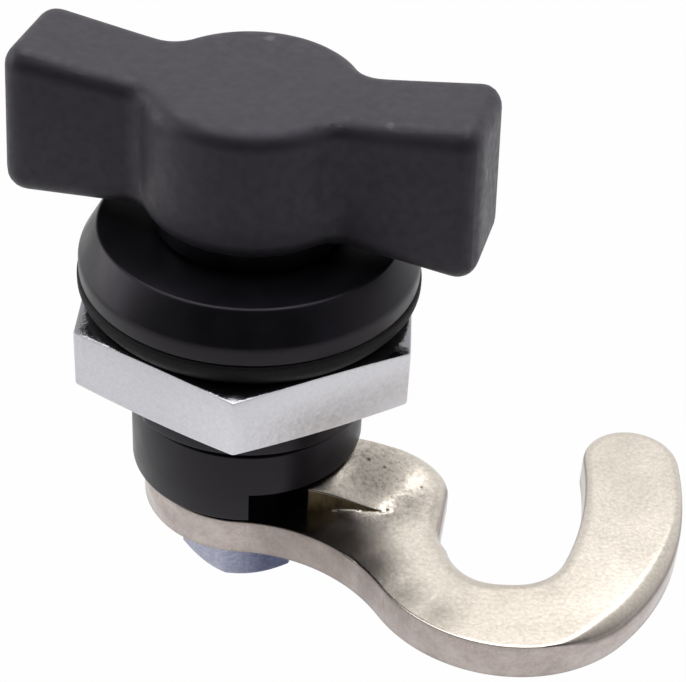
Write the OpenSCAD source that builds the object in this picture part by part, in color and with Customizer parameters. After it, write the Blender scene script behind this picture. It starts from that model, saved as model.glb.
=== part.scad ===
// Quarter-turn hook latch with a wing knob, for clamping through a panel.
// Z runs along the turning axis towards the knob, Z 0 is the underside of the
// housing's flange, and X is square to the two flats on the housing's thread.

/* [Housing] */
// Diameter of the flange
flange_d = 28; // [26:0.5:34]
// Diameter of the flange's flat top
flange_top_d = 24.8; // [22:0.1:25.6]
// Height of the flange
flange_h = 4.3; // [3.2:0.1:6]
// Height of the flange's upright rim
rim_h = 1.5; // [0.8:0.1:2.4]
// Outer diameter of the thread
thread_d = 22; // [21.2:0.1:24]
// Distance from one thread ridge to the next
thread_pitch = 1.5; // [1:0.25:2]
// Depth of the grooves between the thread ridges
thread_depth = 0.8; // [0.4:0.05:0.9]
// Length of the thread below the flange
thread_l = 11.8; // [10:0.1:14]
// Distance across the two flats on the thread
flats_w = 20.3; // [20.2:0.1:21]
// Diameter of the plain tube below the thread
tube_d = 20; // [19:0.1:20]
// Length of the housing below the flange
stem_l = 19.5; // [17:0.1:26]
// Diameter of the bore that the spindle turns in
bore_d = 14; // [12:0.1:15]
// Height of the stop notch in the tube's lower rim
notch_h = 2.9; // [2:0.1:4]

/* [Gasket and nut] */
// How far the gasket's upper edge stands out past the flange, all round
gasket_over = 0.15; // [0:0.05:1]
// Diameter of the gasket's underside
gasket_foot_d = 26.6; // [25:0.1:29]
// Thickness of the gasket
gasket_t = 2.2; // [1:0.1:3]
// Share of the gasket's thickness that stands upright above its taper
gasket_upright = 0.5; // [0.2:0.05:0.8]
// Distance across the nut's flats
nut_af = 27; // [26:0.5:32]
// Thickness of the nut
nut_t = 5.7; // [4:0.1:7]
// Azimuth of one corner of the nut
nut_turn = 9; // [0:1:59]

/* [Knob] */
// Diameter of the knob's round middle
boss_d = 17.8; // [16.4:0.1:20]
// Height of the knob's round middle
boss_h = 11.3; // [9:0.1:14]
// Length of the knob from tip to tip, at the foot of the wings
knob_l = 38.8; // [32:0.1:48]
// How much shorter the wings are at their top, at each end
wing_draft = 0.6; // [0:0.1:1.5]
// Width of a wing where it leaves the round middle
wing_neck_w = 8.8; // [7:0.1:9.6]
// Width of a wing at its end
wing_end_w = 9.8; // [8:0.1:12]
// How far a wing's end rises above the knob's round middle
wing_rise = 1.1; // [0:0.1:3]
// How far a wing's end drops below the knob's round middle
wing_drop = 0.5; // [0:0.1:0.9]
// Radius of the knob's rounded edges
knob_edge_r = 1.3; // [0.6:0.1:1.6]
// Radius of the hollow fillets between the wings and the round middle
knob_fillet_r = 2.4; // [1:0.1:4]
// Wall of the hollow under each wing
wing_wall = 2.3; // [1.6:0.1:2.8]
// Diameter of the neck under the knob
neck_d = 15.6; // [15.2:0.1:17]
// Height of the neck under the knob
neck_h = 1.5; // [1:0.1:3]
// Azimuth of the wings at rest
knob_turn = -34.5; // [-90:0.5:90]

/* [Spindle] */
// Width of the square end that the knob is moulded on
spigot_w = 8; // [6:0.1:9]
// Height of the square end inside the knob
spigot_h = 9; // [6:0.1:10]
// Width of the square end that drives the hook
drive_w = 8; // [7:0.1:8.2]
// Depth of the tapped hole in the lower end
tapped_l = 14; // [12:0.5:18]
// Thickness of the sealing ring
ring_t = 2; // [1.6:0.1:2.4]
// Height of the sealing ring's centre above the flange's underside
ring_z = 1.6; // [-4:0.1:1.8]

/* [Hook] */
// Thickness of the hook plate
hook_t = 3.5; // [2.5:0.1:4]
// Diameter of the round hub
hub_d = 17.9; // [17:0.1:20]
// How far the round hub sits forward of the turning axis
hub_shift = 1.05; // [0:0.05:1.5]
// Distance from the turning axis to the middle of the throat
throat_pitch = 24.9; // [24:0.1:30]
// Radius of the throat that takes the keeper
throat_r = 5.1; // [4:0.1:5.6]
// Width of the hook's arm
arm_w = 8.5; // [6:0.1:10]
// How much wider the arm is than the bend below it
arm_flare = 1; // [0.2:0.1:1.6]
// Radius of the outer curve between bend and arm
flare_r = 24; // [20:0.5:28]
// Angle from the throat to the middle of the round tip
arm_sweep = 25.8; // [10:0.1:30]
// Radius of the hollow curve between hub and arm
web_r = 13.9; // [8:0.1:18]
// Azimuth of the throat from the shoulder's direction
throat_turn = -27.4; // [-32:0.1:-24]
// Distance of the shoulder's back edge from the axis
shoulder_back = 0.2; // [0:0.05:1]
// Reach of the shoulder from the axis
shoulder_l = 17.7; // [16.8:0.1:18.4]
// Radius of the shoulder's outer corner
shoulder_r = 4.2; // [2:0.1:4.6]
// Distance from the throat's centre to the corner at the shoulder's foot
kink_reach = 5.7; // [5.6:0.1:6]
// Azimuth of the shoulder at rest
hook_turn = -17; // [-60:1:60]

/* [Stop] */
// Height of the stop lug above the hook plate
lug_h = 2.5; // [1.8:0.1:2.6]
// Distance of the lug's sheared front edge from the axis
lug_front = 8.4; // [8:0.1:9]
// Distance of the lug's back edge from the axis
lug_back = 0.6; // [0.2:0.1:2]
// Radius where the lug's slope runs out on the plate
lug_foot_r = 14.6; // [12:0.1:15.4]
// Angle from the shoulder's direction to the lug's stopping face
lug_start = -58; // [-66:1:-55]
// Turn from rest back to the first stop
turn_back = 30; // [0:1:90]
// Turn from stop to stop
turn_total = 90; // [60:1:120]

/* [Fasteners] */
// Thread diameter of the bolt that holds the hook
bolt_d = 6; // [5:0.5:6]
// Length of the bolt under its head
bolt_l = 16; // [12:1:16]
// Distance across the flats of the bolt's head
bolt_af = 10; // [8:0.5:11]
// Height of the bolt's head
bolt_head_h = 4.1; // [3:0.1:5]
// Azimuth of one corner of the bolt's head
bolt_turn = -4; // [-30:1:30]
// Diameter of the flat washer
washer_d = 12; // [11.8:0.1:14]
// Thickness of the flat washer
washer_t = 1.6; // [1:0.1:2]
// Diameter of the spring washer
spring_d = 11.8; // [10:0.1:12]
// Thickness of the spring washer
spring_t = 1.8; // [1:0.1:2]

/* [Clearances] */
// Gap all round between the spindle and the bore
bore_gap = 0.05; // [0.02:0.01:0.1]
// Gap all round between the nut and the thread
nut_gap = 0.06; // [0.03:0.01:0.1]
// Gap between the turning parts and the ends of the housing
run_gap = 0.1; // [0.05:0.05:0.3]
// Gap between each stop face and the lug at the end of its turn, in degrees
stop_gap = 0.6; // [0.3:0.1:2]
// Gap all round a square end in its hole
square_gap = 0.05; // [0.02:0.01:0.1]
// Gap all round the bolt in the holes it passes or screws into
bolt_gap = 0.06; // [0.03:0.01:0.2]
// Gap all round the bolt in its washers
washer_gap = 0.2; // [0.1:0.05:0.4]
// Room along the axis for the sealing ring in its groove
ring_room = 0.4; // [0.2:0.1:0.8]

/* [Hidden] */
$fn = 64;
// Overshoot of a cut past the face that it opens
cut = 1;
// Lap of one curve over the next where they run into each other
lap = 0.02;
// Angle by which neighbouring arcs run over each other
lap_turn = 6;
// Depth to which a raised or sunk shape reaches past the edge that it starts from
root = 0.2;
// Facets of the spheres that round the wings
wing_fn = 32;

// Heights along the axis
knob_z = flange_h + run_gap;
boss_z = knob_z + neck_h;
boss_top_z = boss_z + boss_h;
hook_top_z = -stem_l - run_gap;
hook_foot_z = hook_top_z - hook_t;
washer_z = hook_foot_z - washer_t;
spring_z = washer_z - spring_t;
bolt_foot_z = spring_z - bolt_head_h;
notch_top_z = -stem_l + notch_h;

// Radii
flange_r = flange_d / 2;
gasket_d = flange_d + 2 * gasket_over;
thread_r = thread_d / 2;
tube_r = tube_d / 2;
bore_r = bore_d / 2;
shaft_r = bore_r - bore_gap;
boss_r = boss_d / 2;
hub_r = hub_d / 2;
bend_r = throat_r + arm_w - arm_flare;
arm_in_r = throat_pitch + throat_r;
arm_mid_r = arm_in_r + arm_w / 2;
arm_out_r = arm_in_r + arm_w;
bolt_r = bolt_d / 2;

// Small breaks of edges
thread_run_out = 0.5;
bore_break = 0.4;
nut_break = 0.8;
nut_slope = 14;
bolt_slope = 30;

// Centres of the hook's hub and throat, with the shoulder along X
hub_centre = [0, -hub_shift];
throat = [throat_pitch * cos(throat_turn), throat_pitch * sin(throat_turn)];
shoulder_corner = [shoulder_l - shoulder_r, -shoulder_back - shoulder_r];
// Directions from the throat's centre to the shoulder's foot and to the round part below it
kink_angle = 172;
kink_end_angle = 188;

// Angle at which the lug's back edge leaves the tube's outer face
lug_end = -asin(lug_back / tube_r);
notch_start = hook_turn + lug_start - turn_back - stop_gap;
notch_sweep = turn_total + lug_end - lug_start + 2 * stop_gap;

// Side of a wing: a straight line from its neck to its end
wing_l = knob_l / 2 - boss_r;
wing_flare = (wing_end_w - wing_neck_w) / 2 / wing_l;
wing_flare_angle = atan(wing_flare);
function wing_half_w(x) = wing_neck_w / 2 + (x - boss_r) * wing_flare;
function wing_top(x) = boss_top_z + (x - boss_r) * wing_rise / wing_l;
function wing_foot(x) = boss_z - (x - boss_r) * wing_drop / wing_l;
function polar(r, a) = [r * cos(a), r * sin(a)];

// Point at two distances from two centres, on the right of the line from the first to the second
function reach_point(a, a_reach, b, b_reach) =
    let (d = norm(b - a), u = (b - a) / d)
    let (run = (d * d + a_reach * a_reach - b_reach * b_reach) / (2 * d))
    a + u * run + [u.y, -u.x] * sqrt(a_reach * a_reach - run * run);

// A flat ring standing on z
module ring(outer_r, inner_r, t, z) {
    translate([0, 0, z]) difference() {
        cylinder(r = outer_r, h = t);
        translate([0, 0, -cut]) cylinder(r = inner_r, h = t + 2 * cut);
    }
}

// A square bar on the axis
module square_bar(w, z0, z1) {
    translate([-w / 2, -w / 2, z0]) cube([w, w, z1 - z0]);
}

// A hexagon with its corners turned off at one end or both
module hexagon(af, h, slope, both_ends) {
    corner_r = af / 2 / cos(30);
    outer_r = corner_r + cut;
    fall = (outer_r - af / 2) * tan(slope);
    intersection() {
        cylinder(r = corner_r, h = h, $fn = 6);
        rotate_extrude() polygon([
            [0, 0],
            [both_ends ? af / 2 : outer_r, 0],
            [outer_r, both_ends ? fall : 0],
            [outer_r, h - fall],
            [af / 2, h],
            [0, h]
        ]);
    }
}

// One wing with round edges, rising and spreading a little towards its end
module wing(side) {
    tip = knob_l / 2 - knob_edge_r;
    inner = boss_r / 2;
    corners = [
        [inner, wing_half_w(inner), wing_foot(inner) + knob_edge_r],
        [inner, wing_half_w(inner), wing_top(inner) - knob_edge_r],
        [tip, wing_end_w / 2, boss_z - wing_drop + knob_edge_r],
        [tip - wing_draft, wing_end_w / 2, boss_top_z + wing_rise - knob_edge_r]
    ];
    color("#2b2b2d") hull()
        for (corner = corners, across = [-1, 1])
            translate([side * corner.x, across * (corner.y - knob_edge_r), corner.z])
                sphere(r = knob_edge_r, $fn = wing_fn);
}

// Plan of the hollow under a wing
module wing_hollow_plan(side) {
    inner = boss_r + wing_wall / 2;
    outer = knob_l / 2 - wing_draft - wing_wall;
    half_in = wing_half_w(inner) - wing_wall;
    half_out = wing_half_w(outer) - wing_wall;
    polygon([
        [side * inner, -half_in],
        [side * outer, -half_out],
        [side * outer, half_out],
        [side * inner, half_in]
    ]);
}

// Plan of one hollow fillet, between the round middle and one side of a wing
module knob_fillet_plan() {
    along = [cos(wing_flare_angle), sin(wing_flare_angle)];
    outward = [-along.y, along.x];
    rise = wing_half_w(0) * along.x + knob_fillet_r;
    run = sqrt(pow(boss_r + knob_fillet_r, 2) - rise * rise);
    centre = outward * rise + along * run;
    touch = centre * boss_r / (boss_r + knob_fillet_r);
    difference() {
        polygon([[0, 0], touch, centre, centre - outward * knob_fillet_r]);
        translate(centre) circle(r = knob_fillet_r);
    }
}

// Section of the knob's round middle, with round upper and lower edges
module boss_section() {
    square([boss_r - knob_edge_r, boss_h]);
    translate([0, knob_edge_r]) square([boss_r, boss_h - 2 * knob_edge_r]);
    for (z = [knob_edge_r, boss_h - knob_edge_r])
        translate([boss_r - knob_edge_r, z]) circle(r = knob_edge_r);
}

module wing_knob() {
    color("#2b2b2d") rotate(knob_turn) difference() {
        union() {
            translate([0, 0, boss_z]) rotate_extrude() boss_section();
            translate([0, 0, knob_z]) cylinder(d = neck_d, h = neck_h + knob_edge_r);
            for (side = [-1, 1]) {
                wing(side);
                for (across = [0, 1])
                    mirror([0, across, 0]) mirror([side < 0 ? 1 : 0, 0, 0])
                        translate([0, 0, boss_z + knob_edge_r])
                            linear_extrude(boss_h - 2 * knob_edge_r) knob_fillet_plan();
            }
        }
        square_bar(spigot_w + 2 * square_gap, knob_z - cut, knob_z + spigot_h + square_gap);
        for (side = [-1, 1])
            translate([0, 0, boss_z - wing_drop - cut])
                linear_extrude(boss_h - wing_wall + wing_drop + cut) wing_hollow_plan(side);
    }
}

module spindle() {
    groove_r = shaft_r - ring_t;
    groove_w = ring_t + ring_room;
    color("#b9bbc0") difference() {
        union() {
            translate([0, 0, hook_top_z]) cylinder(r = shaft_r, h = knob_z - hook_top_z);
            rotate(knob_turn) square_bar(spigot_w, knob_z - cut, knob_z + spigot_h);
            rotate(hook_turn) square_bar(drive_w, hook_top_z - hook_t + 2 * run_gap, hook_top_z + cut);
        }
        ring(shaft_r + cut, groove_r, groove_w, ring_z - groove_w / 2);
        translate([0, 0, hook_foot_z]) cylinder(r = bolt_r + bolt_gap, h = tapped_l);
    }
}

module spindle_seal() {
    color("#161616") rotate_extrude()
        translate([shaft_r - ring_t / 2, ring_z]) circle(d = ring_t);
}

// Half section of the housing: flange, ridged thread and plain tube round the bore
module housing_section() {
    ridges = floor((thread_l - thread_run_out) / thread_pitch);
    first = -(thread_l - ridges * thread_pitch) / 2;
    root_r = thread_r - thread_depth;
    polygon([
        [bore_r + bore_break, flange_h],
        [flange_top_d / 2, flange_h],
        [flange_r, rim_h],
        [flange_r, 0],
        [thread_r, 0],
        for (i = [0:ridges - 1]) each [
            [thread_r, first - i * thread_pitch],
            [root_r, first - (i + 0.5) * thread_pitch]
        ],
        [thread_r, first - ridges * thread_pitch],
        [thread_r, -thread_l],
        [tube_r, -thread_l - thread_run_out],
        [tube_r, -stem_l],
        [bore_r, -stem_l],
        [bore_r, flange_h - bore_break]
    ]);
}

module housing() {
    color("#1c1c1e") difference() {
        rotate_extrude() housing_section();
        for (side = [0, 180])
            rotate(side) translate([flats_w / 2, -thread_r, -thread_l - cut])
                cube([thread_r, thread_d, thread_l + cut]);
        rotate(notch_start) rotate_extrude(angle = notch_sweep)
            translate([bore_r - cut, -stem_l - cut]) square([tube_r - bore_r + 2 * cut, notch_h + cut]);
    }
}

module gasket() {
    upright = gasket_t * gasket_upright;
    color("#171717") rotate_extrude() polygon([
        [thread_r + nut_gap, -gasket_t],
        [gasket_foot_d / 2, -gasket_t],
        [gasket_d / 2, -upright],
        [gasket_d / 2, 0],
        [thread_r + nut_gap, 0]
    ]);
}

module hex_nut() {
    hole_r = thread_r + nut_gap;
    color("#c9c8cc") translate([0, 0, -gasket_t - nut_t]) difference() {
        rotate(nut_turn) hexagon(nut_af, nut_t, nut_slope, true);
        rotate_extrude() polygon([
            [0, -cut],
            [hole_r + nut_break + cut, -cut],
            [hole_r, nut_break],
            [hole_r, nut_t - nut_break],
            [hole_r + nut_break + cut, nut_t + cut],
            [0, nut_t + cut]
        ]);
    }
}

// Plan of the round hub and the hollow web that joins it to the arm
module hub_plan() {
    web_centre = reach_point(hub_centre, hub_r + web_r, throat, bend_r + web_r);
    translate(hub_centre) circle(r = hub_r);
    difference() {
        polygon([hub_centre, web_centre, throat]);
        translate(web_centre) circle(r = web_r + lap);
    }
}

// Part of a disc between two directions
module sector(r, start, end) {
    intersection() {
        circle(r = r);
        polygon([[0, 0], polar(2 * r, start), polar(2 * r, end)]);
    }
}

// Plan of the hooked arm, with the throat along X
module arm_plan() {
    flare_centre = reach_point([throat_pitch, 0], flare_r - bend_r, [0, 0], arm_out_r - flare_r);
    flare_turn = atan2(flare_centre.y, flare_centre.x);
    flare_foot = atan2(-flare_centre.y, throat_pitch - flare_centre.x);
    translate([throat_pitch, 0]) intersection() {
        circle(r = bend_r + 2 * lap);
        translate([-2 * bend_r, -2 * bend_r]) square([4 * bend_r, 2 * bend_r]);
    }
    intersection() {
        difference() {
            union() {
                sector(arm_out_r, flare_turn, flare_turn + 60);
                translate(flare_centre) sector(flare_r + lap, flare_foot, flare_turn + lap_turn);
            }
            circle(r = arm_in_r);
        }
        polygon([[0, 0], polar(2 * arm_out_r, -45), polar(2 * arm_out_r, arm_sweep)]);
    }
    rotate(arm_sweep) translate([arm_mid_r, 0]) circle(r = arm_w / 2 + lap);
}

// Plan of the shoulder beside the throat, with its back edge along X
module shoulder_plan() {
    polygon([
        [hub_r / 2, -shoulder_back],
        [shoulder_corner.x, -shoulder_back],
        shoulder_corner,
        [shoulder_l, shoulder_corner.y],
        throat,
        hub_centre
    ]);
    translate(shoulder_corner) circle(r = shoulder_r);
}

// Plan of the throat and of the opening beside the shoulder that leads into it
module throat_plan() {
    kink = throat + polar(kink_reach, kink_angle);
    side = [shoulder_l, shoulder_corner.y] - kink;
    translate(throat) circle(r = throat_r);
    polygon([
        throat,
        throat + polar(throat_r - root, kink_end_angle),
        kink,
        kink + side * (1 + root),
        [throat.x, shoulder_corner.y]
    ]);
}

module hook_plan() {
    difference() {
        union() {
            hub_plan();
            rotate(throat_turn) arm_plan();
            shoulder_plan();
        }
        throat_plan();
        square(drive_w + 2 * square_gap, center = true);
    }
}

// Raised lug on the shoulder: a cone's side, sheared off along its front edge
module stop_lug() {
    lug_in_r = bore_r + 2 * run_gap;
    slope_run = (lug_foot_r - tube_r) / lug_h;
    intersection() {
        rotate(lug_start) rotate_extrude(angle = -lug_start) polygon([
            [lug_in_r, -root],
            [lug_foot_r + root * slope_run, -root],
            [tube_r, lug_h],
            [lug_in_r, lug_h]
        ]);
        translate([0, -lug_front, -hook_t])
            cube([lug_foot_r + cut, lug_front - lug_back, hook_t + 2 * lug_h]);
    }
}

module hook_cam() {
    color("#cfc7bd") rotate(hook_turn) translate([0, 0, hook_top_z]) {
        translate([0, 0, -hook_t]) linear_extrude(hook_t) hook_plan();
        stop_lug();
    }
}

module flat_washer() {
    color("#c4c6cc") ring(washer_d / 2, bolt_r + washer_gap, washer_t, washer_z);
}

module spring_washer() {
    split_w = spring_t / 2;
    color("#b4b7bf") difference() {
        ring(spring_d / 2, bolt_r + washer_gap, spring_t, spring_z);
        translate([0, -split_w / 2, spring_z - cut]) cube([spring_d, split_w, spring_t + 2 * cut]);
    }
}

module cam_bolt() {
    color("#9aa3bb") {
        translate([0, 0, spring_z]) rotate([180, 0, bolt_turn])
            hexagon(bolt_af, bolt_head_h, bolt_slope, false);
        translate([0, 0, spring_z - cut]) cylinder(r = bolt_r, h = bolt_l + cut);
    }
}

wing_knob();
spindle();
spindle_seal();
housing();
gasket();
hex_nut();
hook_cam();
flat_washer();
spring_washer();
cam_bolt();
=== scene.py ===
# %% [markdown]
# # A quarter-turn hook latch
# The latch closes a panel: a wing knob above the panel turns a hooked cam below it.
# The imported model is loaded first, because it fixes where every piece sits. Each piece that
# shows is then modelled again with finer edges, in the same place and size, and given its finish.

# %% Load the frame
import math
import bpy
import bmesh
from mathutils import Matrix, Vector


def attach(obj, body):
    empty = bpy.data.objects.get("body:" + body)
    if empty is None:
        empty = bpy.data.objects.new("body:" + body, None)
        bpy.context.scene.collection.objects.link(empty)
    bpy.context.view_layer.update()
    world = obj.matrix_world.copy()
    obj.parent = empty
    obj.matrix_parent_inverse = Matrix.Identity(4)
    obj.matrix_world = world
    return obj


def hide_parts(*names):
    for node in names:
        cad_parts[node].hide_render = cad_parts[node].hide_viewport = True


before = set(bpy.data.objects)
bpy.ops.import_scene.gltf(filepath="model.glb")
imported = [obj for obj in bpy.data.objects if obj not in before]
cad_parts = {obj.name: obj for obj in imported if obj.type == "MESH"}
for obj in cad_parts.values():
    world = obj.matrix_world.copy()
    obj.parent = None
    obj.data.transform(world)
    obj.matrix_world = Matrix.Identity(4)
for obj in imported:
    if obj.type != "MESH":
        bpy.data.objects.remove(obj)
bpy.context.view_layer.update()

scene = bpy.context.scene
MM = 0.001
print("nodes:", ", ".join(sorted(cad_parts)))

# %% [markdown]
# ## Finishes
# A finish is a small web of nodes. Every one here reads Object coordinates, which are metres in
# the part's own frame, so a pattern has a real size and stays on the surface when the part moves.
# One function turns a written colour into the linear numbers that shaders work with, and another
# adds a node, so that each finish below is only a few lines.

# %% Helpers for finishes
def colour(code):
    """Linear colour of an sRGB hex code such as #d0c8be."""
    parts = [int(code[i:i + 2], 16) / 255 for i in (1, 3, 5)]
    return [c / 12.92 if c <= 0.04045 else ((c + 0.055) / 1.055) ** 2.4 for c in parts] + [1]


def add(tree, kind, settings=None, **sockets):
    """Adds a node, sets its options, and sets or links its input sockets."""
    made = tree.nodes.new("ShaderNode" + kind)
    for name, value in (settings or {}).items():
        setattr(made, name, value)
    for name, value in sockets.items():
        socket = made.inputs[int(name[1:])] if name[0] == "_" else made.inputs[name.replace("_", " ")]
        if isinstance(value, bpy.types.NodeSocket):
            tree.links.new(value, socket)
        else:
            socket.default_value = value
    return made


def per_mm(size):
    """Texture scale at which a pattern's marks are about this many millimetres apart."""
    return 1 / (size * MM)


def start_finish(name):
    """An empty finish: its tree, its shader and the part's coordinates."""
    made = bpy.data.materials.new(name)
    made.use_nodes = True
    tree = made.node_tree
    shader = tree.nodes["Principled BSDF"]
    place = add(tree, "TexCoord").outputs["Object"]
    return made, tree, shader, place


def grain(tree, place, size, detail=2.0, roughness=0.5, stretch=(1, 1, 1)):
    """Cloudy marks of about this size, from 0 to 1."""
    turned = add(tree, "Mapping", Vector=place, Scale=stretch).outputs["Vector"]
    return add(tree, "TexNoise", Vector=turned, Scale=per_mm(size), Detail=detail,
               Roughness=roughness).outputs["Fac"]


def spread(tree, value, low, high, start=0.3, end=0.7):
    """Maps cloudy marks to a range of values."""
    return add(tree, "MapRange", _0=value, _1=start, _2=end, _3=low, _4=high).outputs["Result"]


def tint(tree, value, dark, light):
    """A colour between two, by a value from 0 to 1."""
    return add(tree, "Mix", {"data_type": "RGBA"}, _0=value, _6=colour(dark),
               _7=colour(light)).outputs[2]


def relief(tree, shader, height, depth, strength=1.0):
    """Fine relief of the surface, as deep as this many millimetres."""
    bump = add(tree, "Bump", Height=height, Distance=depth * MM, Strength=strength)
    tree.links.new(bump.outputs["Normal"], shader.inputs["Normal"])


def spot(tree, place, centre, radius, soft, ragged=0.0):
    """1 within this many millimetres of a centre and 0 outside, with a soft and ragged edge."""
    away = add(tree, "VectorMath", {"operation": "DISTANCE"}, _0=place,
               _1=[c * MM for c in centre]).outputs["Value"]
    if ragged:
        jitter = grain(tree, place, 0.6, detail=5, roughness=0.7)
        rough = spread(tree, jitter, -ragged * MM, ragged * MM)
        away = add(tree, "Math", {"operation": "ADD"}, _0=away, _1=rough).outputs[0]
    return spread(tree, away, 1, 0, (radius - soft) * MM, (radius + soft) * MM)


def spots(tree, place, marks, soft, ragged=0.0):
    """Several spots in one mask, from pairs of a centre and a radius. A centre in plan is at
    height 0."""
    mask = 0.0
    for centre, radius in marks:
        mask = larger(tree, mask, spot(tree, place, (*centre, 0)[:3], radius, soft, ragged))
    return mask


CAMERA_RIGHT = (0.936, -0.352, 0)


def light_and_shade_across(tree, place, start, end):
    """0 to 1 across the part from its left to its right as the camera sees it, between two places in
    millimetres. It carries painted light and shade from one side to the other."""
    across = add(tree, "VectorMath", {"operation": "DOT_PRODUCT"}, _0=place,
                 _1=CAMERA_RIGHT).outputs["Value"]
    return spread(tree, across, 0, 1, start * MM, end * MM)


def blend(tree, share, below, above):
    """One colour over another, by a share from 0 to 1."""
    return add(tree, "Mix", {"data_type": "RGBA"}, _0=share, _6=below, _7=above).outputs[2]


def larger(tree, a, b):
    """The larger of two values."""
    return add(tree, "Math", {"operation": "MAXIMUM"}, _0=a, _1=b).outputs[0]


def product(tree, a, b):
    """One value times another."""
    return add(tree, "Math", {"operation": "MULTIPLY"}, _0=a, _1=b).outputs[0]


print("per_mm(0.5) =", per_mm(0.5))

# %% [markdown]
# The knob is moulded in dark nylon. Its mould was spark-eroded, which leaves a fine even grain,
# so light spreads on it softly. Two near greys, a varied roughness and a shallow bump give that,
# and three small knocks from use are a little lighter than the rest. Black pieces often have a trace
# of violet in their gloss, which the specular tint gives.

# %% Finish of the knob
KNOCKS = [((7.6, -9.7, 17.6), 0.35), ((14.8, -12.2, 13.6), 0.4), ((3.1, 6.0, 17.2), 0.4)]
VIOLET_GLOSS = colour("#fbf0ff")


def knob_nylon():
    made, tree, shader, place = start_finish("grained_nylon")
    cloud = grain(tree, place, 3.0, detail=3)
    knocks = product(tree, spots(tree, place, KNOCKS, 0.15, 0.15), 0.5)
    body = tint(tree, cloud, "#29272d", "#302e34")
    tree.links.new(blend(tree, knocks, body, colour("#6d6b70")), shader.inputs["Base Color"])
    tree.links.new(spread(tree, grain(tree, place, 0.8), 0.42, 0.56), shader.inputs["Roughness"])
    shader.inputs["Specular IOR Level"].default_value = 0.37
    shader.inputs["Specular Tint"].default_value = VIOLET_GLOSS
    relief(tree, shader, grain(tree, place, 0.22, detail=3), 0.02, 0.5)
    return made


nylon = knob_nylon()
print("finish:", nylon.name)

# %% [markdown]
# The housing is a zinc casting with black stove enamel. Enamel flows a little before it sets, so
# its gloss is broken by a slow unevenness, a few millimetres wide. A shallow bump helps it.

# %% Finish of the housing
def black_enamel():
    made, tree, shader, place = start_finish("black_enamel")
    cloud = grain(tree, place, 2.5, detail=3)
    tree.links.new(tint(tree, cloud, "#0b0a0e", "#121116"), shader.inputs["Base Color"])
    tree.links.new(spread(tree, cloud, 0.30, 0.40), shader.inputs["Roughness"])
    shader.inputs["Specular IOR Level"].default_value = 0.27
    shader.inputs["Specular Tint"].default_value = VIOLET_GLOSS
    relief(tree, shader, grain(tree, place, 0.6, detail=3), 0.012, 0.5)
    return made


enamel = black_enamel()
print("finish:", enamel.name)

# %% [markdown]
# The gasket and the seal are rubber: nearly black, dull, and a little dusty where they were
# pressed in the mould. A coarse speck pattern lightens the dust and roughens the surface.

# %% Finish of the gasket and seal
def moulded_rubber(name, dust):
    made, tree, shader, place = start_finish(name)
    cloud = grain(tree, place, 0.5, detail=4, roughness=0.65)
    tree.links.new(tint(tree, spread(tree, cloud, 0, 1, 0.45, 0.75), "#0c0b0d", dust),
                   shader.inputs["Base Color"])
    tree.links.new(spread(tree, cloud, 0.55, 0.75), shader.inputs["Roughness"])
    shader.inputs["Specular IOR Level"].default_value = 0.18
    relief(tree, shader, cloud, 0.03, 0.6)
    return made


rubber = moulded_rubber("gasket_rubber", "#242023")
seal_rubber = moulded_rubber("seal_rubber", "#1c1b1d")
print("finishes:", rubber.name, seal_rubber.name)

# %% [markdown]
# Nut, washers and bolt are plated with zinc. Zinc grows in small crystals, so its grey is mottled
# and each patch mirrors a little differently. The bolt's passivation adds a blue cast. End faces
# were turned on a lathe before plating, so where the surface looks up it is smoother; its darker
# grey there is painted shade. Each piece also changes from its left to its right as the camera sees
# it: painted light on the nut's right side, painted shade on the bolt's. Small dimples from the forge
# show on the nut.

# %% Finish of nut, washers and bolt
def upward(tree):
    """How far the surface looks up or down: 1 on level faces and 0 on walls."""
    normal = add(tree, "NewGeometry").outputs["Normal"]
    return add(tree, "Math", {"operation": "ABSOLUTE"},
               _0=add(tree, "SeparateXYZ", Vector=normal).outputs["Z"]).outputs[0]


END_ROUGHNESS = 0.14


def plated_zinc(name, left, right, rough, end_face_shade, width):
    """Left and right are pairs of greys that mix within this width of the axis, as painted light and
    shade from one side to the other. end_face_shade is a grey of painted shade on faces that look up
    or down, and rough is the range of roughness on the walls."""
    made, tree, shader, place = start_finish(name)
    mottle = grain(tree, place, 0.35, detail=4, roughness=0.6)
    ends = spread(tree, upward(tree), 0, 1, 0.6, 0.98)
    fine = spread(tree, mottle, 0, 1)
    body = blend(tree, light_and_shade_across(tree, place, -width, width), tint(tree, fine, *left),
                 tint(tree, fine, *right))
    # Faces that look up or down take the darker end grey: painted shade.
    tree.links.new(blend(tree, ends, body, colour(end_face_shade)), shader.inputs["Base Color"])
    shader.inputs["Metallic"].default_value = 1
    wall_rough = spread(tree, mottle, *rough)
    tree.links.new(add(tree, "MapRange", _0=ends, _3=wall_rough, _4=END_ROUGHNESS).outputs["Result"],
                   shader.inputs["Roughness"])
    relief(tree, shader, grain(tree, place, 0.7, detail=4, roughness=0.6), 0.05, 0.8)
    return made


# The right-hand greys are painted light on the nut and painted shade on the bolt; the end greys are
# painted shade.
nut_zinc = plated_zinc("bright_zinc", ("#c5c4c9", "#d7d6db"), ("#dad9de", "#ecebef"),
                       rough=(0.38, 0.52), end_face_shade="#8a888c", width=6)
bolt_zinc = plated_zinc("blue_zinc", ("#8c8ea1", "#acaebf"), ("#474b61", "#5b6078"),
                        rough=(0.18, 0.26), end_face_shade="#6c7390", width=2)
steel = plated_zinc("blackened_steel", ("#2c2c2f", "#3a3a3d"), ("#2c2c2f", "#3a3a3d"),
                    rough=(0.35, 0.5), end_face_shade="#2c2c2f", width=6)
print("finishes:", nut_zinc.name, bolt_zinc.name, steel.name)
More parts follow.
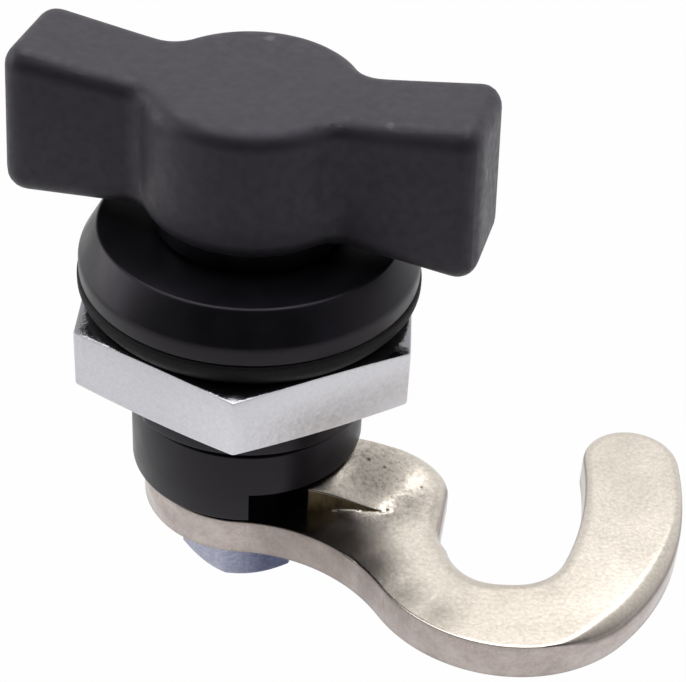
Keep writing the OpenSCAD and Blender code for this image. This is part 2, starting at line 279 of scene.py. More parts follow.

# %% [markdown]
# The cam is stamped from plate and nickel plated over a tumbled surface, which leaves a warm satin
# with a fine speckle. Its cut walls are blotchy and a little rosier. A mask from the surface's own
# slope separates the two: it is 1 on flat faces and 0 on walls, and where it is between them a thin
# dark line of painted shade follows the rim. On the shoulder the plating is worn dull and cracked,
# with a few pits. Along the hollow front edge, top and walls are darkened by a painted reflection of
# the black tube, partly tarnish, and the bend is darkened by painted shade that tones down the
# overhead lamp's highlight there. These marks are spots in plan, in the cam's own frame, which is
# turned from the part's.

# %% Finish of the cam
CAM_TURN = -17
# Painted shade on the bend, which tones down the overhead lamp's highlight there.
BEND_SHADE = [((22.1, -20.5), 6)]
WORN = [((11.3, -4.8), 3.2), ((13.6, -7.0), 2.0)]
PITS = [((10.6, -3.6), 0.16), ((12.1, -8.2), 0.16), ((12.0, -3.9), 0.12), ((15.2, -5.2), 0.1)]
# Along the front edge: a painted reflection of the black tube, partly tarnish.
TUBE_REFLECTION_AND_TARNISH = [((4.5, -10.6), 3.6), ((8.0, -12.4), 3.0), ((10.6, -15.2), 2.2), ((13.0, -18.3), 1.4),
           ((15.6, -20.4), 0.9)]


def satin_nickel():
    made, tree, shader, place = start_finish("satin_nickel")
    plan = add(tree, "Mapping", Vector=place, Rotation=(0, 0, math.radians(-CAM_TURN)),
               Scale=(1, 1, 0)).outputs["Vector"]
    speck = spread(tree, grain(tree, place, 0.32, detail=4, roughness=0.65), 0, 1, 0.32, 0.68)
    crackle = spread(tree, grain(tree, place, 0.45, detail=5, roughness=0.75), 1, 0, 0.38, 0.52)
    face = tint(tree, speck, "#c9c0b5", "#dcd4c9")
    bend_shade = spots(tree, plan, BEND_SHADE, 3.5, 0.5)
    worn = spots(tree, plan, WORN, 1.6, 0.9)
    tube_reflection_and_tarnish = spots(tree, plan, TUBE_REFLECTION_AND_TARNISH, 1.6, 0.5)
    pits = spots(tree, plan, PITS, 0.08)
    # The bend is darkened by painted shade.
    face = blend(tree, product(tree, bend_shade, 0.36), face, colour("#a79e93"))
    face = blend(tree, product(tree, worn, 0.72), face, colour("#857f78"))
    face = blend(tree, product(tree, worn, product(tree, crackle, 0.6)), face, colour("#57524b"))
    face = blend(tree, product(tree, tube_reflection_and_tarnish, 0.6), face, colour("#544f48"))
    face = blend(tree, pits, face, colour("#3a342e"))
    blotch = spread(tree, grain(tree, place, 2.2, detail=4, roughness=0.65), 0, 1, 0.35, 0.65)
    wall = tint(tree, blotch, "#a0948f", "#bbb0ab")
    wall = blend(tree, product(tree, speck, 0.35), wall, colour("#cfc6c0"))
    # The walls by the tube get the same painted reflection of the tube, partly tarnish.
    wall = blend(tree, product(tree, tube_reflection_and_tarnish, 0.45), wall, colour("#6b615d"))
    level = upward(tree)
    flat = spread(tree, level, 0, 1, 0.35, 0.8)
    # A thin dark line of painted shade along the rim, where the top face turns into the wall.
    rim = product(tree, spread(tree, level, 0, 1, 0.15, 0.35), spread(tree, level, 1, 0, 0.4, 0.65))
    body = blend(tree, product(tree, rim, 0.6), blend(tree, flat, wall, face), colour("#4f4843"))
    tree.links.new(body, shader.inputs["Base Color"])
    shader.inputs["Metallic"].default_value = 1
    rough = spread(tree, grain(tree, place, 4.0), 0.20, 0.27)
    tree.links.new(larger(tree, rough, product(tree, worn, 0.42)), shader.inputs["Roughness"])
    relief(tree, shader, speck, 0.006, 0.5)
    return made


nickel = satin_nickel()
print("finish:", nickel.name)

# %% [markdown]
# Where the stop lug was sheared off, plating hardly reaches and the raw steel has browned. It is
# rough and dull, with streaks along the shear. Its dark brown is partly that browning and partly
# painted shade.

# %% Finish of the lug's sheared wall
def browned_and_shaded_steel():
    made, tree, shader, place = start_finish("browned_and_shaded_steel")
    streak = grain(tree, place, 0.5, detail=3, stretch=(1, 1, 0.3))
    # These browns are partly oxide and partly painted shade.
    tree.links.new(tint(tree, spread(tree, streak, 0, 1), "#5a4a34", "#93825f"),
                   shader.inputs["Base Color"])
    shader.inputs["Metallic"].default_value = 0.6
    tree.links.new(spread(tree, streak, 0.5, 0.7), shader.inputs["Roughness"])
    relief(tree, shader, streak, 0.04, 0.7)
    return made


sheared = browned_and_shaded_steel()
print("finish:", sheared.name)

# %% [markdown]
# ## Tools for turned and stamped pieces
# Most pieces here are either turned, so a half section spun about the axis makes them, or
# stamped, so an outline drawn in plan and extruded makes them. A section's corners are rounded
# while it is still a wire, because a bevel on a few vertices is exact and the spin repeats it.

# %% Helpers for modelling
def soften(bm, vert, reach):
    """Rounds one corner of a wire."""
    bmesh.ops.bevel(bm, geom=[vert], offset=reach * MM, offset_type="OFFSET", segments=5,
                    profile=0.5, affect="VERTICES", material=-1)


def round_edges(bm, edges, reach, segments=2, material=-1):
    """Rounds edges of a solid."""
    bmesh.ops.bevel(bm, geom=edges, offset=reach * MM, offset_type="OFFSET", segments=segments,
                    profile=0.5, affect="EDGES", material=material)


def turn_about_axis(bm, angle):
    """Turns a whole bmesh about the part's axis, in degrees."""
    bmesh.ops.rotate(bm, verts=bm.verts, matrix=Matrix.Rotation(math.radians(angle), 3, "Z"))


def section(corners):
    """A closed wire in the XZ plane through (radius, height, rounding) corners in millimetres.
    The rounding is how far it reaches along each side."""
    bm = bmesh.new()
    verts = [bm.verts.new((r * MM, 0, z * MM)) for r, z, _ in corners]
    for i, vert in enumerate(verts):
        bm.edges.new((vert, verts[(i + 1) % len(verts)]))
    for vert, (_, _, reach) in zip(verts, corners):
        if reach:
            soften(bm, vert, reach)
    return bm


def spun(corners, start=0, sweep=360, steps=128):
    """A section spun about the axis, all round or through part of a turn."""
    bm = section(corners)
    turn_about_axis(bm, start)
    bmesh.ops.spin(bm, geom=bm.verts[:] + bm.edges[:], axis=(0, 0, 1), cent=(0, 0, 0),
                   angle=math.radians(sweep), steps=steps, use_merge=sweep == 360)
    return bm


def joined(*parts):
    """One bmesh from several."""
    whole = bmesh.new()
    for part in parts:
        mesh = bpy.data.meshes.new("part")
        part.to_mesh(mesh)
        whole.from_mesh(mesh)
        bpy.data.meshes.remove(mesh)
        part.free()
    return whole


def merge(bm):
    """Merges doubled points."""
    bmesh.ops.remove_doubles(bm, verts=bm.verts, dist=0.001 * MM)


def close(bm):
    """Merges doubled points, fills open ends and turns all faces outwards."""
    merge(bm)
    rims = [e for e in bm.edges if e.is_boundary]
    if rims:
        bmesh.ops.holes_fill(bm, edges=rims, sides=0)
    bmesh.ops.recalc_face_normals(bm, faces=bm.faces)


def piece(name, bm, finish, body, node, crease=35):
    """Makes a finished object of a bmesh, which stands for a node of the frame."""
    mesh = bpy.data.meshes.new(name)
    bm.to_mesh(mesh)
    bm.free()
    mesh.shade_smooth()
    mesh.set_sharp_from_angle(angle=math.radians(crease))
    mesh.materials.append(finish)
    made = bpy.data.objects.new(name, mesh)
    scene.collection.objects.link(made)
    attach(made, body)
    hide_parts(node)
    print(name, "has", len(mesh.polygons), "faces")
    return made


def polar(radius, angle, centre=(0, 0)):
    """Point at a radius and an angle in degrees from a centre, in plan."""
    a = math.radians(angle)
    return Vector((centre[0] + radius * math.cos(a), centre[1] + radius * math.sin(a)))


ring = spun([(1, 0, 0), (2, 0, 0), (2, 1, 0)], steps=8)
print("a three-sided ring spun in 8 steps:", len(ring.faces), "faces")
ring.free()

# %% [markdown]
# ## Housing
# The housing is one casting: a flange that shows above the panel, a threaded stem through it and a
# plain tube whose lower rim has a notch for the cam's stop. It is spun in two parts, one with the
# tube at full length and one that ends at the notch, so the notch's walls are open edges to fill.
# A narrow groove below the thread lets the cutting tool run out.

# %% Housing: casting
FLANGE_R, TOP_R, FLANGE_H, RIM_H = 14.0, 12.4, 4.3, 1.5
TUBE_R, BORE_R, STEM, NOTCH_TOP = 10.0, 7.0, -19.5, -16.6
THREAD_R, ROOT_R, FLAT_X, PITCH = 11.0, 10.12, 10.15, 1.5
RUN_OUT, THREAD_END, GROOVE_END, GROOVE_R = -9.4, -11.4, -12.35, 9.7
NOTCH_START, NOTCH_SWEEP = -105.6, 145.76

head = [(BORE_R, FLANGE_H, 0.4), (TOP_R, FLANGE_H, 0.22), (FLANGE_R, RIM_H, 0.3),
        (FLANGE_R, 0, 0.2), (ROOT_R, 0, 0), (ROOT_R, RUN_OUT, 0), (THREAD_R, RUN_OUT - 0.5, 0.1),
        (THREAD_R, THREAD_END, 0.12), (GROOVE_R, THREAD_END, 0), (GROOVE_R, GROOVE_END, 0),
        (TUBE_R, GROOVE_END - 0.2, 0.1)]
full = head + [(TUBE_R, NOTCH_TOP, 0), (TUBE_R, STEM, 0.25), (BORE_R, STEM, 0.2),
               (BORE_R, NOTCH_TOP, 0)]
short = head + [(TUBE_R, NOTCH_TOP, 0), (BORE_R, NOTCH_TOP, 0)]
casting = joined(spun(short, NOTCH_START, NOTCH_SWEEP, 60),
                 spun(full, NOTCH_START + NOTCH_SWEEP, 360 - NOTCH_SWEEP, 88))
close(casting)
stem = [v for v in casting.verts if THREAD_END - 0.1 < v.co.z / MM < RUN_OUT]
for vert in stem:
    vert.co.x = max(-FLAT_X * MM, min(FLAT_X * MM, vert.co.x))
print("open edges left:", sum(e.is_boundary for e in casting.edges))

# %% [markdown]
# The thread is one ridge, spun with a small drop at every step, so that it winds down the stem.
# Two cuts across the whole thread give the flats that keep the latch from turning in the panel.

# %% Housing: thread
TURNS, TURN_STEPS = 5.6, 64
ridge = section([(ROOT_R - 0.4, -0.45, 0), (THREAD_R, -1.05, 0.08), (THREAD_R, -1.25, 0.08),
                 (ROOT_R - 0.4, -1.85, 0)])
bmesh.ops.spin(ridge, geom=ridge.verts[:] + ridge.edges[:], axis=(0, 0, 1), cent=(0, 0, 0),
               dvec=(0, 0, -PITCH * MM / TURN_STEPS), angle=math.tau * TURNS,
               steps=int(TURN_STEPS * TURNS))
for side in (-1, 1):
    bmesh.ops.bisect_plane(ridge, geom=ridge.verts[:] + ridge.edges[:] + ridge.faces[:],
                           plane_co=(side * FLAT_X * MM, 0, 0), plane_no=(side, 0, 0),
                           clear_outer=True)
close(ridge)
piece("housing_casting", joined(casting, ridge), enamel, "housing_body", "housing")

# %% [markdown]
# ## Gasket
# The rubber ring under the flange keeps water out. It was pressed in a two-part mould: the upper
# half stands upright with round edges, the lower half tapers in to its foot. A spun section again.

# %% Gasket
gasket_ring = spun([(11.06, 0, 0.1), (14.15, 0, 0.35), (14.15, -1.1, 0.35), (13.3, -2.2, 0.25),
                    (11.06, -2.2, 0.1)])
close(gasket_ring)
piece("gasket_ring", gasket_ring, rubber, "housing_body", "gasket")

# %% [markdown]
# ## Hexagons
# A nut is a hexagon whose corners were turned off on a lathe. Where that cone meets the six flats
# it leaves arcs. The section is spun first, with a step at every corner, and then each point of
# the rim is drawn in to the hexagon and let down by the slope of the cone.

# %% Helper for hexagons
def hexagon(across, foot, top, turn, hole_r, foot_turned, top_turned, edge, steps=96):
    """A hexagon between two heights. Its corners are turned off at each end by a cone, given as
    the share of the half width at which it starts and its slope in degrees."""
    half = across / 2
    rim = half / math.cos(math.radians(30))
    bm = spun([(hole_r, foot, 0), (half * foot_turned[0], foot, 0), (rim, foot, 0), (rim, top, 0),
               (half * top_turned[0], top, 0), (hole_r, top, 0)], start=turn, steps=steps)
    merge(bm)
    for vert in bm.verts:
        flat = Vector((vert.co.x, vert.co.y)) / MM
        if flat.length < (half + rim) / 2:
            continue
        angle = (math.degrees(math.atan2(flat.y, flat.x)) - turn) % 60 - 30
        reach = half / math.cos(math.radians(angle))
        low = vert.co.z / MM < (foot + top) / 2
        start, slope = foot_turned if low else top_turned
        fall = (reach - half * start) * math.tan(math.radians(slope))
        vert.co = Vector((*(flat.normalized() * reach), foot + fall if low else top - fall)) * MM
    merge(bm)
    bmesh.ops.recalc_face_normals(bm, faces=bm.faces)
    edges = [e for e in bm.edges if e.calc_face_angle() > math.radians(25)
             and min(abs(f.normal.z) for f in e.link_faces) < 0.1
             and min(v.co.xy.length for v in e.verts) > (half - 0.01) * MM]
    round_edges(bm, edges, edge)
    return bm


print("hexagon ready")

# %% Nut
NUT_TOP, NUT_T = -2.2, 5.7
nut_body = hexagon(across=27, foot=NUT_TOP - NUT_T, top=NUT_TOP, turn=9, hole_r=11.06,
                   foot_turned=(0.97, 7), top_turned=(0.97, 4), edge=0.2)
close(nut_body)
piece("nut_body", nut_body, nut_zinc, "nut", "hex_nut")

# %% [markdown]
# ## Knob
# The knob is a round middle with a wing on each side. Its plan is symmetric, so only a quarter of
# the outline is walked, with arcs made by spinning a single point, and mirrored twice. The filled
# plan is extruded, its rims are rounded, and strips cut across the wings let their ends rise.

# %% Helpers for outlines
def start_outline(point):
    """A bmesh with one point, from which an outline is walked."""
    bm = bmesh.new()
    return bm, bm.verts.new((point[0] * MM, point[1] * MM, 0))


def line(bm, vert, point):
    """Walks straight to a point."""
    made = bm.verts.new((point[0] * MM, point[1] * MM, 0))
    bm.edges.new((vert, made))
    return made


def arc(bm, vert, centre, sweep, steps):
    """Walks round a centre by spinning the last point."""
    out = bmesh.ops.spin(bm, geom=[vert], axis=(0, 0, 1), cent=(centre[0] * MM, centre[1] * MM, 0),
                         angle=math.radians(sweep), steps=steps)
    return next(v for v in out["geom_last"] if isinstance(v, bmesh.types.BMVert))


def stand_up(bm, foot, top):
    """Fills an outline and extrudes it between two heights, with all faces outwards."""
    bmesh.ops.contextual_create(bm, geom=bm.edges[:])
    bmesh.ops.translate(bm, verts=bm.verts, vec=(0, 0, foot * MM))
    grown = bmesh.ops.extrude_face_region(bm, geom=bm.faces[:])
    upper = [v for v in grown["geom"] if isinstance(v, bmesh.types.BMVert)]
    bmesh.ops.translate(bm, verts=upper, vec=(0, 0, (top - foot) * MM))
    bmesh.ops.recalc_face_normals(bm, faces=bm.faces)


def cut_across(bm, place, normal):
    """Cuts all faces along a plane without taking anything away."""
    bmesh.ops.bisect_plane(bm, geom=bm.verts[:] + bm.edges[:] + bm.faces[:],
                           plane_co=Vector(place) * MM, plane_no=normal)


print("outline helpers ready")

# %% Knob: plan and body
KNOB_FOOT, KNOB_TOP, KNOB_TURN = 5.9, 17.2, -34.5
BOSS_R, HALF_L, FILLET_R = 8.9, 19.4, 2.4
NECK_HALF, END_HALF = 4.4, 4.9
WING_L = HALF_L - BOSS_R
FLARE = (END_HALF - NECK_HALF) / WING_L


def wing_half(x):
    """Half the wing's width at a distance from the axis."""
    return NECK_HALF + (x - BOSS_R) * FLARE


lean = math.atan(FLARE)
along = Vector((math.cos(lean), math.sin(lean)))
outward = Vector((-along.y, along.x))
rise_to = wing_half(0) * math.cos(lean) + FILLET_R
fillet = outward * rise_to + along * math.sqrt((BOSS_R + FILLET_R) ** 2 - rise_to ** 2)
fillet_turn = math.degrees((-outward).angle_signed(-fillet))
boss_turn = 90 - math.degrees(math.atan2(fillet.y, fillet.x))

knob_body, at = start_outline((HALF_L, 0))
corner = at = line(knob_body, at, (HALF_L, END_HALF))
at = line(knob_body, at, fillet - outward * FILLET_R)
at = arc(knob_body, at, fillet, -fillet_turn, 10)
at = arc(knob_body, at, (0, 0), boss_turn, 14)
soften(knob_body, corner, 2.0)
for axis in "XY":
    bmesh.ops.mirror(knob_body, geom=knob_body.verts[:] + knob_body.edges[:], axis=axis,
                     merge_dist=0.001 * MM)
merge(knob_body)
stand_up(knob_body, KNOB_FOOT, KNOB_TOP)
print("plan points:", len(knob_body.verts) // 2, "fillet turns", round(fillet_turn, 1))

# %% [markdown]
# Towards their ends the wings grow taller, both up and down, and lean in a little so that the mould
# lets go of them. The two are not alike: the right one reaches lower and the left one farther out.

# %% Knob: round rims and rising wings
WING_RISE, RIGHT_DROP, LEFT_DROP = 1.25, 0.9, 0.5
WING_DRAFT, LEFT_LONGER = 0.6, 0.3
for height, reach in ((KNOB_TOP, 1.6), (KNOB_FOOT, 1.7)):
    rim = [e for e in knob_body.edges
           if all(abs(v.co.z - height * MM) < 0.01 * MM for v in e.verts)]
    round_edges(knob_body, rim, reach, segments=6)
for x in (6.5, 7.4, 8.2, 8.9, 9.6, 10.4, 11.4, 12.8, 14.5, 16.2):
    for side in (-1, 1):
        cut_across(knob_body, (side * x, 0, 0), (1, 0, 0))
for vert in knob_body.verts:
    out = abs(vert.co.x) / MM
    share = (vert.co.z / MM - KNOB_FOOT) / (KNOB_TOP - KNOB_FOOT)
    ramp = (math.sqrt((out - BOSS_R) ** 2 + 1) + out - BOSS_R) / 2 / WING_L
    draft = WING_DRAFT * share * max(0, out - BOSS_R) / WING_L
    drop = RIGHT_DROP if vert.co.x > 0 else LEFT_DROP
    vert.co.z += (share * WING_RISE - (1 - share) * drop) * ramp * MM
    vert.co.x -= LEFT_LONGER * ramp * MM if vert.co.x < 0 else 0
    vert.co.x -= math.copysign(draft * MM, vert.co.x)
print("knob faces:", len(knob_body.faces))

# %% [markdown]
# Underneath, the mould leaves each wing hollow, so that the plastic sets evenly, and a square
# pocket takes the spindle. Cuts across the flat underside mark out each pocket, and its faces are
# pushed up. A short neck, spun as a ring, keeps the knob just off the housing; it takes black
# enamel instead of nylon, as painted shade under the boss.

# %% Knob: pockets and neck
HOLLOW_IN, HOLLOW_OUT, HOLLOW_TOP, SIDE_WALL = 10.05, 16.5, 14.9, 2.3
DRIVE, DRIVE_TOP = 4.05, 13.45
hollow_half = wing_half(HOLLOW_IN) - SIDE_WALL
POCKETS = [(HOLLOW_IN, HOLLOW_OUT, hollow_half, HOLLOW_TOP),
           (-HOLLOW_OUT, -HOLLOW_IN, hollow_half, HOLLOW_TOP), (-DRIVE, DRIVE, DRIVE, DRIVE_TOP)]
for x0, x1, half_w, _ in POCKETS:
    for x in (x0, x1):
        cut_across(knob_body, (x, 0, 0), (1, 0, 0))
    for side in (-1, 1):
        cut_across(knob_body, (0, side * half_w, 0), (0, 1, 0))
for x0, x1, half_w, ceiling in POCKETS:
    floor_faces = [f for f in knob_body.faces if f.normal.z < -0.9
                   and x0 < f.calc_center_median().x / MM < x1
                   and abs(f.calc_center_median().y) / MM < half_w]
    grown = bmesh.ops.extrude_face_region(knob_body, geom=floor_faces)
    for vert in grown["geom"]:
        if isinstance(vert, bmesh.types.BMVert):
            vert.co.z = ceiling * MM
    bmesh.ops.delete(knob_body, geom=floor_faces, context="FACES")
shaded_neck = spun([(5.8, 4.4, 0.1), (7.8, 4.4, 0.2), (7.8, 6.4, 0), (5.8, 6.4, 0)])
# The neck's faces take the second slot, black enamel, as painted shade under the boss.
for face in shaded_neck.faces:
    face.material_index = 1
knob_body = joined(knob_body, shaded_neck)
turn_about_axis(knob_body, KNOB_TURN)
close(knob_body)
knob = piece("knob_moulding", knob_body, nylon, "rotor", "wing_knob", crease=50)
knob.data.materials.append(enamel)

# %% [markdown]
# ## Cam
# The cam is stamped from 3.5 mm plate: a round hub under the housing, a shoulder beside the throat
# and an arm that hooks round the keeper. Its outline is a chain of arcs that run into each other,
# so it is walked arc by arc, each one starting where the last one ended.

# %% Cam: outline
CAM_TOP, CAM_T = -19.6, 3.5
HUB, HUB_R, WEB_R = Vector((0, -1.05)), 8.95, 13.9
THROAT_PITCH, THROAT_TURN, THROAT_R = 24.9, -27.4, 5.1
ARM_W, ARM_SWEEP, BEND_W, FLARE_R = 8.5, 25.8, 7.5, 24
THROAT = polar(THROAT_PITCH, THROAT_TURN)
BEND_R, ARM_IN = THROAT_R + BEND_W, THROAT_PITCH + THROAT_R
ARM_OUT = ARM_IN + ARM_W
SHOULDER, SHOULDER_R = Vector((13.5, -4.4)), 4.2
KINK, KINK_END = polar(5.7, 172, THROAT), 188


def direction(start, end):
    """Angle in degrees from one point to another."""
    return math.degrees(math.atan2(end[1] - start[1], end[0] - start[0]))


def reach_point(a, a_reach, b, b_reach):
    """Point at two distances from two centres, on the right of the line between them."""
    gap = b - a
    run = (gap.length_squared + a_reach ** 2 - b_reach ** 2) / (2 * gap.length)
    u = gap.normalized()
    return a + u * run + Vector((u.y, -u.x)) * math.sqrt(a_reach ** 2 - run ** 2)


AXIS = Vector((0, 0))
WEB = reach_point(HUB, HUB_R + WEB_R, THROAT, BEND_R + WEB_R)
FLARE_AT = reach_point(THROAT, FLARE_R - BEND_R, AXIS, ARM_OUT - FLARE_R)
tip_turn, flare_turn = THROAT_TURN + ARM_SWEEP, direction(AXIS, FLARE_AT)
back_y = SHOULDER.y + SHOULDER_R
hub_start = Vector((math.sqrt(HUB_R ** 2 - (back_y - HUB.y) ** 2), back_y))
cam_plate, first = start_outline(hub_start)
at = arc(cam_plate, first, HUB, direction(HUB, WEB) % 360 - direction(HUB, hub_start), 72)
at = arc(cam_plate, at, WEB, direction(WEB, THROAT) - direction(WEB, HUB), 24)
at = arc(cam_plate, at, THROAT, (direction(FLARE_AT, THROAT) - direction(THROAT, WEB)) % 360, 48)
at = arc(cam_plate, at, FLARE_AT, flare_turn - direction(FLARE_AT, THROAT), 16)
at = arc(cam_plate, at, AXIS, tip_turn - flare_turn, 10)
at = arc(cam_plate, at, polar(ARM_IN + ARM_W / 2, tip_turn), 180, 40)
at = arc(cam_plate, at, AXIS, -ARM_SWEEP, 14)
at = arc(cam_plate, at, THROAT, KINK_END - 360 - THROAT_TURN, 44)
kink = at = line(cam_plate, at, KINK)
at = line(cam_plate, at, (SHOULDER.x + SHOULDER_R, SHOULDER.y))
at = arc(cam_plate, at, SHOULDER, 90, 24)
cam_plate.edges.new((at, first))
soften(cam_plate, kink, 0.6)
print("outline points:", len(cam_plate.verts))

# %% [markdown]
# A punch rolls the upper edge over as it shears the plate, more on some sides than on others. So
# the top face is inset in small steps, and each ring is let down by the roundness of the edge at
# that place: wide on the shoulder and where the arm leaves the bend, narrow along the front.

# %% Cam: plate with rolled edges
ROLL, MORE_ROLL, LEAST_ROLL = 0.85, 0.8, 0.15


def smooth_step(value, low, high):
    """0 below low, 1 above high and a smooth change between."""
    t = min(1, max(0, (value - low) / (high - low)))
    return t * t * (3 - 2 * t)


def roll_radius(x, y):
    """Roundness of the plate's upper edge at a place in plan."""
    front = smooth_step(-y, 12, 15) * smooth_step(32 - x, 2, 8)
    hub = smooth_step(10 - x, -2, 2)
    outside = smooth_step(math.hypot(x, y), 33, 36)
    throat = 1 - smooth_step(math.hypot(x - THROAT.x, y - THROAT.y), 7.5, 10)
    shoulder = smooth_step(24 - x, 2, 6) * smooth_step(x, 12, 15)
    lower_right = outside * (1 - smooth_step(y, -16, -6))
    wide = ROLL + MORE_ROLL * max(shoulder, lower_right)
    narrow = max(front * (1 - throat), hub)
    return wide + (LEAST_ROLL - wide) * narrow


stand_up(cam_plate, 0, CAM_T)
top = [f for f in cam_plate.faces if f.normal.z > 0.9]
inward = cam_plate.verts.layers.float.new("inward")
depth = 0.0
for step in (0.05, 0.08, 0.12, 0.15, 0.2, 0.2, 0.25, 0.3, 0.35):
    bmesh.ops.inset_region(cam_plate, faces=top, thickness=step * MM, use_even_offset=True,
                           use_boundary=True)
    depth += step
    for vert in {v for f in top for v in f.verts}:
        vert[inward] = depth
for vert in cam_plate.verts:
    radius, run = roll_radius(vert.co.x / MM, vert.co.y / MM), vert[inward]
    if vert.co.z > CAM_T / 2 * MM and run < radius:
        vert.co.z -= (radius - math.sqrt(radius ** 2 - (radius - run) ** 2)) * MM
print("plate faces:", len(cam_plate.faces), "rings to", round(depth, 2), "mm")

# %% [markdown]
# The lower edge is only broken. The square hole that the spindle drives is marked out by four cuts,
# its two lids are taken away and their rims bridged.

# %% Cam: lower edge and square hole
lower = [e for e in cam_plate.edges
         if all(v.co.z < 0.01 * MM for v in e.verts) and e.calc_face_angle(0) > 1]
round_edges(cam_plate, lower, 0.2)
for place in (-DRIVE, DRIVE):
    cut_across(cam_plate, (place, 0, 0), (1, 0, 0))
    cut_across(cam_plate, (0, place, 0), (0, 1, 0))
lids = [f for f in cam_plate.faces if max(abs(c) for c in f.calc_center_median().xy) < DRIVE * MM]
bmesh.ops.delete(cam_plate, geom=lids, context="FACES")
bmesh.ops.bridge_loops(cam_plate, edges=[e for e in cam_plate.edges if e.is_boundary])
print("lower rim edges broken:", len(lower), "lids:", len(lids))

# %% [markdown]
# The stop lug was pressed up out of the plate: a ramp that climbs from the shoulder to the tube,
# sheared off along its front and at its stopping face. So the plate's own top is cut into a fine
# grid there and lifted. Two cuts close together become a wall when only one of them is lifted.

# %% Cam: stop lug
LUG_H, LUG_FRONT, LUG_BACK, LUG_START, WALL = 2.5, -8.4, -0.6, -58, 0.05
UPPER_SIDE = CAM_T - 1.8
stop_side = Vector((*polar(1, LUG_START + 90), 0))


def lift(x, y):
    """Height of the pressed-up lug above the plate: a ramp that is lower and longer at the back,
    and a hollow foot in front of its sheared wall."""
    r = math.hypot(x, y)
    if stop_side.x * x + stop_side.y * y < WALL / 2 or x < 0:
        return 0
    back = smooth_step(math.degrees(math.atan2(y, x)), -38, -4)
    start, foot = 9 - 0.5 * back, 15 + 2.5 * back
    height = (LUG_H - 0.4 * back) * smooth_step(foot - r, 0, foot - start)
    height *= smooth_step(r, 7.25, 7.9) * smooth_step(LUG_BACK - y, 0, 0.5)
    ahead_of_wall = LUG_FRONT - y
    if ahead_of_wall > WALL / 2:
        beside_stop = smooth_step(stop_side.x * x + stop_side.y * y, 0.5, 3.5)
        height *= 0.3 * beside_stop * max(0, 1 - ahead_of_wall / 2.6) ** 2
    return height


def cut_top(place, normal):
    """Cuts only the faces of the plate's upper side near the shoulder."""
    faces = [f for f in cam_plate.faces if min(v.co.z for v in f.verts) > UPPER_SIDE * MM
             and max(v.co.x for v in f.verts) > 3 * MM and min(v.co.x for v in f.verts) < 18 * MM]
    geom = {v for f in faces for v in f.verts} | {e for f in faces for e in f.edges} | set(faces)
    bmesh.ops.bisect_plane(cam_plate, geom=list(geom), plane_co=Vector(place) * MM, plane_no=normal)


for x in (3.4, 18):
    cut_top((x, 0, 0), (1, 0, 0))
for y in (LUG_FRONT - WALL, LUG_FRONT, *[LUG_BACK - 0.52 * i for i in range(15)],
          *[-8.8 - 0.4 * i for i in range(6)]):
    cut_top((0, y, 0), (0, 1, 0))
for x in [3.9 + 0.55 * i for i in range(25)]:
    cut_top((x, 0, 0), (1, 0, 0))
for shift in (0, WALL):
    cut_top(stop_side * shift, stop_side)
for vert in cam_plate.verts:
    if vert.co.z > UPPER_SIDE * MM:
        vert.co.z += lift(vert.co.x / MM, vert.co.y / MM) * MM
bmesh.ops.recalc_face_normals(cam_plate, faces=cam_plate.faces)
for face in cam_plate.faces:
    middle = face.calc_center_median() / MM
    if face.normal.y < -0.8 and LUG_FRONT - WALL < middle.y < LUG_FRONT and middle.z > CAM_T - 1:
        face.material_index = 1
crest = [e for e in cam_plate.edges if len({f.material_index for f in e.link_faces}) == 2
         and min(v.co.z for v in e.verts) > (CAM_T + 0.2) * MM]
round_edges(cam_plate, crest, 0.1, material=0)
print("lug faces:", sum(f.material_index for f in cam_plate.faces), "in its sheared wall")

# %% Cam: place
bmesh.ops.translate(cam_plate, verts=cam_plate.verts, vec=(0, 0, (CAM_TOP - CAM_T) * MM))
turn_about_axis(cam_plate, CAM_TURN)
close(cam_plate)
cam = piece("cam_plate", cam_plate, nickel, "rotor", "hook_cam", crease=40)
cam.data.materials.append(sheared)

# %% [markdown]
# ## Bolt and washers
# A bolt with a spring washer and a flat washer holds the cam on the spindle. The spring washer is
# a split ring bent into a slight screw, so it is spun a little short of a full turn with a drop.

# %% Washers
washer_ring = spun([(3.2, -24.7, 0.1), (6, -24.7, 0.15), (6, -23.1, 0.25), (3.2, -23.1, 0.1)],
                   steps=96)
close(washer_ring)
piece("washer_ring", washer_ring, nut_zinc, "rotor", "flat_washer")

SPRING_STEPS, SPRING_SWEEP, SPRING_RISE = 84, 350, 0.2
spring = section([(3.2, -26.3, 0.1), (5.9, -26.3, 0.15), (5.9, -24.7, 0.15), (3.2, -24.7, 0.1)])
turn_about_axis(spring, (360 - SPRING_SWEEP) / 2)
bmesh.ops.spin(spring, geom=spring.verts[:] + spring.edges[:], axis=(0, 0, 1), cent=(0, 0, 0),
               dvec=(0, 0, -SPRING_RISE * MM / SPRING_STEPS), angle=math.radians(SPRING_SWEEP),
               steps=SPRING_STEPS)
close(spring)
piece("spring_ring", spring, bolt_zinc, "rotor", "spring_washer")

# %% Bolt
BOLT_SEAT, BOLT_FOOT = -26.5, -30.6
bolt_head = hexagon(across=10, foot=BOLT_FOOT, top=BOLT_SEAT, turn=-4, hole_r=0.4,
                    foot_turned=(0.93, 35), top_turned=(0.97, 5), edge=0.1, steps=72)
shank = spun([(0.4, -27, 0), (3, -27, 0), (3, -10.5, 0.5), (0.4, -10.5, 0)], steps=48)
bolt_body = joined(bolt_head, shank)
close(bolt_body)
piece("bolt_body", bolt_body, bolt_zinc, "rotor", "cam_bolt")

# %% [markdown]
# ## Spindle and seal
# Both sit inside the housing and only show from below or not at all. Their shape in the frame is
# already right, so they keep it and only get their finish.

# %% Finishes of the hidden pieces
for node, finish in (("spindle", steel), ("spindle_seal", seal_rubber)):
    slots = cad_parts[node].data.materials
    slots.clear()
    slots.append(finish)
    print(node, "is", finish.name)

